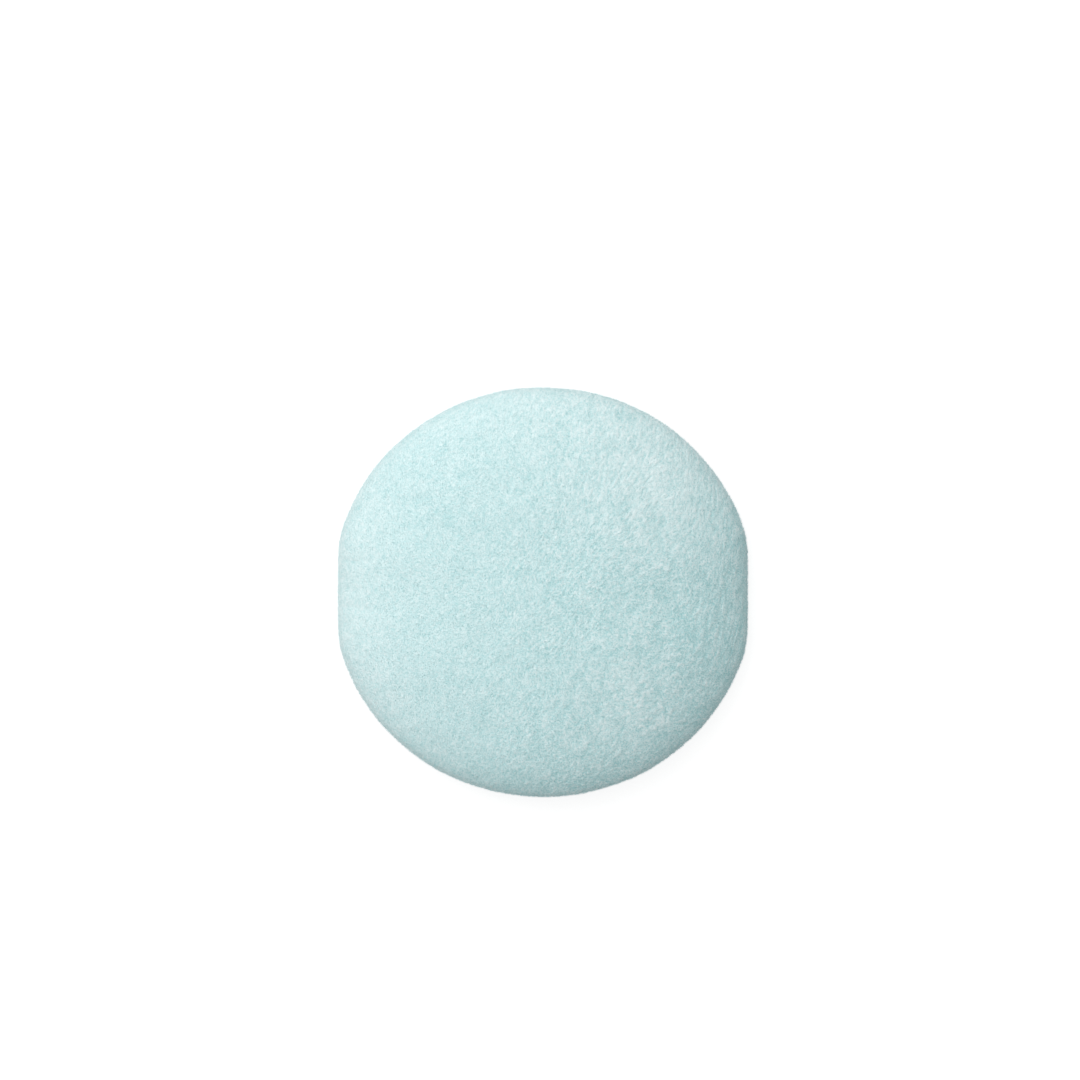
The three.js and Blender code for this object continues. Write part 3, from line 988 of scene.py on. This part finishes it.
def past_seam(points):
    reach = outline_reach(np.arctan2(points[:, 1], points[:, 0]))
    return np.hypot(points[:, 0], points[:, 1]) > reach - seam_groove


def front_grows(points):
    over = points[:, 2] - seam_height(points[:, 0])
    return (over > 0.5 * MM) & (past_seam(points) | (over > 2.2 * MM))


def back_grows(points):
    under = seam_height(points[:, 0]) - points[:, 2]
    pressed = (np.abs(points[:, 1]) < band_half + 0.5 * MM) & (np.abs(points[:, 0]) > half_width - 3.5 * MM)
    return ((under > 0.8 * MM) | (under > 0.3 * MM) & past_seam(points)) & ~pressed


fibre_length = 0.45 * MM
pile_fields_each = 4
grow_pile(
    front_cloth, "front_pile", density=20 / MM**2, height=fibre_length, width=0.075 * MM,
    tuft_spacing=0.42 * MM, fields=pile_fields_each, keep=front_grows, seed=11,
)
grow_pile(
    back_cloth, "back_pile", density=17 / MM**2, height=fibre_length, width=0.09 * MM,
    tuft_spacing=0.5 * MM, fields=pile_fields_each, keep=back_grows, seed=23,
)

# %% [markdown]
# The cloth under the pile gets its thickness last. Solidify gives it an inner face and closes its turned-in
# edge, so that each cover is a closed shell.

# %% Thickness of the covers
def thicken(cover, thickness, node):
    only(cover)
    wall = cover.modifiers.new("cloth", "SOLIDIFY")
    wall.thickness = thickness
    wall.offset = -1
    bpy.ops.object.modifier_apply(modifier=wall.name)
    bpy.ops.object.shade_smooth()
    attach(cover, "root")
    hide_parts(node)


front_outside = len(front_cloth.data.polygons)
back_outside = len(back_cloth.data.polygons)
thicken(front_cloth, 1.0 * MM, "front_cover")
thicken(back_cloth, 0.85 * MM, "back_cover")
print("closed shells:", len(front_cloth.data.polygons), "and", len(back_cloth.data.polygons), "faces")

# %% [markdown]
# Then the outside is cut finer where pile grows, and each of its points is lifted or sunk by the tufts.
# Solidify keeps the outside's faces first in the list, so their number tells them from the inside's.

# %% Raised tufts
def raise_tufts(cover, outside, grows, cuts):
    """Cuts the outside of a cover finer where pile grows, and lifts its tufts."""
    only(cover)
    mesh = cover.data
    centres = np.empty(len(mesh.polygons) * 3)
    mesh.polygons.foreach_get("center", centres)
    chosen = (np.arange(len(mesh.polygons)) < outside) & grows(centres.reshape(-1, 3))
    bpy.ops.object.mode_set(mode="EDIT")
    bpy.ops.mesh.select_mode(type="FACE")
    bpy.ops.mesh.select_all(action="DESELECT")
    bpy.ops.object.mode_set(mode="OBJECT")
    mesh.polygons.foreach_set("select", chosen)
    bpy.ops.object.mode_set(mode="EDIT")
    bpy.ops.mesh.subdivide(number_cuts=cuts)
    bpy.ops.mesh.select_mode(type="VERT")
    bpy.ops.object.mode_set(mode="OBJECT")
    mesh = cover.data
    body = np.zeros(len(mesh.vertices), dtype=bool)
    mesh.vertices.foreach_get("select", body)
    on_body = np.zeros(len(mesh.polygons), dtype=bool)
    mesh.polygons.foreach_get("select", on_body)
    points, normals = read_points(mesh)
    relief = np.zeros(len(points))
    pale = np.full(len(points), 0.33)
    rough = np.full(len(points), 0.5)
    _, _, rough[body], relief[body], pale[body] = pile_fields(points[body], normals[body])
    relief *= smooth(0.4 * MM, 1.2 * MM, np.abs(points[:, 2] - seam_height(points[:, 0])))
    mesh.vertices.foreach_set("co", (points + normals * relief[:, None]).ravel())
    carry(mesh, "pale", pale)
    carry(mesh, "rough", rough)
    # Painted shade in the hollows between tufts, and lighter crests: the lower the tip value, the more of
    # the root shade.
    carry(mesh, "tip", np.clip(0.75 + 3 * relief / MM, 0, 1))
    mesh.materials.append(backing_material)
    mesh.materials.append(pile_material)
    mesh.polygons.foreach_set("material_index", on_body.astype(np.int32))
    mesh.update()


for cover, outside, grows, cuts in (
    (front_cloth, front_outside, front_grows, 2),
    (back_cloth, back_outside, back_grows, 1),
):
    raise_tufts(cover, outside, grows, cuts)
    print(cover.name, len(cover.data.polygons), "faces")

# %% [markdown]
# ## Satin band
# The band is a strip of ribbon. Its path is taken from the way it is sewn in: out of the side seam, down
# round the rim of the back cover, and flat across the back. An edge as wide as the ribbon is extruded along
# that path. Where nothing holds it, across the back, the ribbon ripples a little.

# %% Path of the band
back_side = half_width - back_inset - band_recess
band_side = back_side + fit_gap + band_thickness / 2
turn_radius = 0.6 * MM
tail_reach = 0.8 * seam_allowance
flat_steps = 40
rim_steps = 12
turn_steps = 8
tail_steps = 6


def band_half_path():
    turn_middle = band_side - turn_radius
    slope = math.atan(2 * bow_rise * turn_middle / half_width**2)
    leave = turn_middle + turn_radius * math.sin(slope)
    turn_height = float(seam_height(leave)) - turn_radius * math.cos(slope)
    flat = band_thickness / 2
    lower = 0.75 * (turn_height - flat)
    path = []
    for step in range(flat_steps):
        path.append(((band_side - lower) * step / flat_steps, flat))
    for step in range(rim_steps + 1):
        turn = step / rim_steps * math.pi / 2
        path.append((band_side - lower + lower * math.sin(turn), flat + lower - lower * math.cos(turn)))
    for step in range(turn_steps + 1):
        turn = step / turn_steps * (math.pi / 2 - slope)
        path.append((turn_middle + turn_radius * math.cos(turn), turn_height + turn_radius * math.sin(turn)))
    tail_end = half_width - seam_groove - tail_reach
    for step in range(1, tail_steps + 1):
        x = leave + (tail_end - leave) * step / tail_steps
        path.append((x, float(seam_height(x))))
    return path


half_path = band_half_path()
band_path = [(-x, z) for x, z in reversed(half_path[1:])] + half_path
band_divisions = 16
print("path of the band:", len(band_path), "points")

# %% Satin band
bpy.ops.object.select_all(action="DESELECT")
bpy.ops.mesh.primitive_plane_add(size=2 * band_half, location=(0, 0, 0))
band = bpy.context.object
band.name = "satin_band"
bpy.ops.object.mode_set(mode="EDIT")
mesh = bmesh.from_edit_mesh(band.data)
for vertex in [v for v in mesh.verts if v.co.x > 0]:
    mesh.verts.remove(vertex)
bmesh.update_edit_mesh(band.data)
bpy.ops.mesh.select_all(action="SELECT")
bpy.ops.mesh.subdivide(number_cuts=band_divisions - 1)
mesh = bmesh.from_edit_mesh(band.data)
for vertex in mesh.verts:
    vertex.co.x, vertex.co.z = band_path[0]
for x, z in band_path[1:]:
    bpy.ops.mesh.extrude_region_move()
    mesh = bmesh.from_edit_mesh(band.data)
    for vertex in (v for v in mesh.verts if v.select):
        vertex.co.x, vertex.co.z = x, z
bmesh.update_edit_mesh(band.data)
bpy.ops.mesh.select_all(action="SELECT")
bpy.ops.mesh.normals_make_consistent(inside=False)
bpy.ops.object.mode_set(mode="OBJECT")
print("bare strip:", len(band.data.polygons), "faces")

# %% Weave map, ripple and thickness of the band
ripple_height = 0.1 * MM
strip_map = band.data.uv_layers.new(name="strip")
along = np.concatenate([[0], np.cumsum([math.dist(a, b) for a, b in zip(band_path, band_path[1:])])])
path_points = np.array(band_path)
for loop in band.data.loops:
    place = band.data.vertices[loop.vertex_index].co
    near = np.argmin((path_points[:, 0] - place.x) ** 2 + (path_points[:, 1] - place.z) ** 2)
    strip_map.data[loop.index].uv = (along[near], place.y + band_half)
points, normals = read_points(band.data)
ripple = np.array([noise.noise(Vector((x / 8, y / 3, z / 8)) / MM) for x, y, z in points])
loose = 1 - smooth(0.4 * seam_side, 0.9 * seam_side, points[:, 2])
points += normals * (ripple_height * ripple * loose)[:, None]
points[:, 2] = np.maximum(points[:, 2], band_thickness / 2)
band.data.vertices.foreach_set("co", points.ravel())
only(band)
wall = band.modifiers.new("ribbon", "SOLIDIFY")
wall.thickness = band_thickness
wall.offset = 0
bpy.ops.object.modifier_apply(modifier=wall.name)
bpy.ops.object.shade_smooth()
band.data.materials.append(satin_material)
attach(band, "root")
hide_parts("ribbon_band")

# %% [markdown]
# ## Stuffing and threads
# The foam disc and the two layers of wadding never show, but they are part of the puff. Their solids are
# copied, welded and roughened a little. The threads inside the seam keep their solids and get the thread's
# material.

# %% Stuffing
def stuffing(node, name, material, rough):
    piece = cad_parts[node].copy()
    piece.data = piece.data.copy()
    piece.name = name
    bpy.context.scene.collection.objects.link(piece)
    piece.parent = None
    only(piece)
    bpy.ops.object.mode_set(mode="EDIT")
    bpy.ops.mesh.select_all(action="SELECT")
    bpy.ops.mesh.remove_doubles(threshold=1e-6)
    bpy.ops.object.mode_set(mode="OBJECT")
    finer = piece.modifiers.new("finer", "SUBSURF")
    finer.levels = finer.render_levels = 1
    bpy.ops.object.modifier_apply(modifier=finer.name)
    points, normals = read_points(piece.data)
    grain = np.array([noise.noise(Vector(p) / (1.3 * MM)) for p in points])
    points = points + normals * (rough * np.minimum(grain, 0.2))[:, None]
    piece.data.vertices.foreach_set("co", points.ravel())
    bpy.ops.object.shade_smooth()
    piece.data.materials.clear()
    piece.data.materials.append(material)
    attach(piece, "root")
    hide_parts(node)


stuffing("foam_core", "foam_disc", foam_material, rough=0.12 * MM)
stuffing("front_wadding", "front_batting", wadding_material, rough=0.2 * MM)
stuffing("back_wadding", "back_batting", wadding_material, rough=0.2 * MM)
print("stuffing in place")

# %% Threads
for node in ("needle_thread", "bobbin_thread", "ribbon_tack_left", "ribbon_tack_right", "closing_stitches"):
    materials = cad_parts[node].data.materials
    materials.clear()
    materials.append(thread_material)
print("threads dressed")
